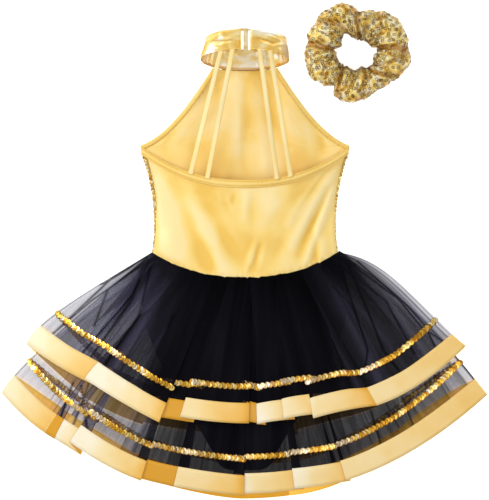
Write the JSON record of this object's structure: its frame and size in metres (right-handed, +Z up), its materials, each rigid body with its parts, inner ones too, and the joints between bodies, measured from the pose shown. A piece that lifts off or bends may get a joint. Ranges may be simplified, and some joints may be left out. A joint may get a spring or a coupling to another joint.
{
  "type": "dance dress",
  "caption": "Girl's halter-neck dance and cheer dress, back side up, with an open back crossed by straps, a two-tier tulle skirt and a matching hair scrunchie.",
  "frame": {"origin": "on the surface that the dress lies on, under the middle of the back waist seam", "axes": "+X to the right of the dress as it lies, +Y from the waist towards the collar, +Z up out of the dress's back"},
  "size_m": [0.608, 0.6184, 0.0554],
  "materials": {
    "gold_satin": "soft satin",
    "gold_ribbon": "glossy satin ribbon",
    "gold_sequins": "overlapping metallic sequins",
    "gold_foil": "metallic foil cloth",
    "black_tulle": "sheer net",
    "black_lining": "matte",
    "elastic": "woven elastic",
    "clasp_metal": "polished pale gold plate"
  },
  "bodies": {
    "dress": {"collar_band": "gold_foil", "front_bodice": "gold_sequins", "front_lining": "gold_satin", "back_bodice": "gold_satin", "armhole_binding_left": "gold_satin", "armhole_binding_right": "gold_satin", "back_neckline_binding": "gold_satin", "back_strap_1": "gold_satin", "back_strap_2": "gold_satin", "back_strap_3": "gold_satin", "back_strap_4": "gold_satin", "waist_elastic": "elastic", "skirt_lining_front": "black_lining", "skirt_lining_back": "black_lining", "lower_tulle_front": "black_tulle", "lower_tulle_back": "black_tulle", "upper_tulle_front": "black_tulle", "upper_tulle_back": "black_tulle", "lower_ribbon_front": "gold_ribbon", "lower_ribbon_back": "gold_ribbon", "upper_ribbon_front": "gold_ribbon", "upper_ribbon_back": "gold_ribbon", "lower_sequin_trim_front": "gold_sequins", "lower_sequin_trim_back": "gold_sequins", "upper_sequin_trim_front": "gold_sequins", "upper_sequin_trim_back": "gold_sequins"},
    "hook": {"clasp_hook": "clasp_metal"},
    "loop": {"clasp_loop": "clasp_metal"},
    "scrunchie": {"scrunchie_cover": "gold_sequins", "scrunchie_elastic": "elastic"}
  },
  "joints": [
    {"name": "clasp_hook_swing", "type": "hinge", "parent": "dress", "child": "hook", "pos_m": [-0.0075, 0.29493, 0.04333], "axis": [0, -0.809, 0.5878], "range_deg": [0, 75]},
    {"name": "clasp_loop_swing", "type": "hinge", "parent": "dress", "child": "loop", "pos_m": [0.0095, 0.29485, 0.04322], "axis": [0, -0.809, 0.5878], "range_deg": [0, 40]},
    {"name": "scrunchie_lift", "type": "slide", "parent": "dress", "child": "scrunchie", "axis": [0, 0, 1], "range_m": [0, 0.12]}
  ]
}
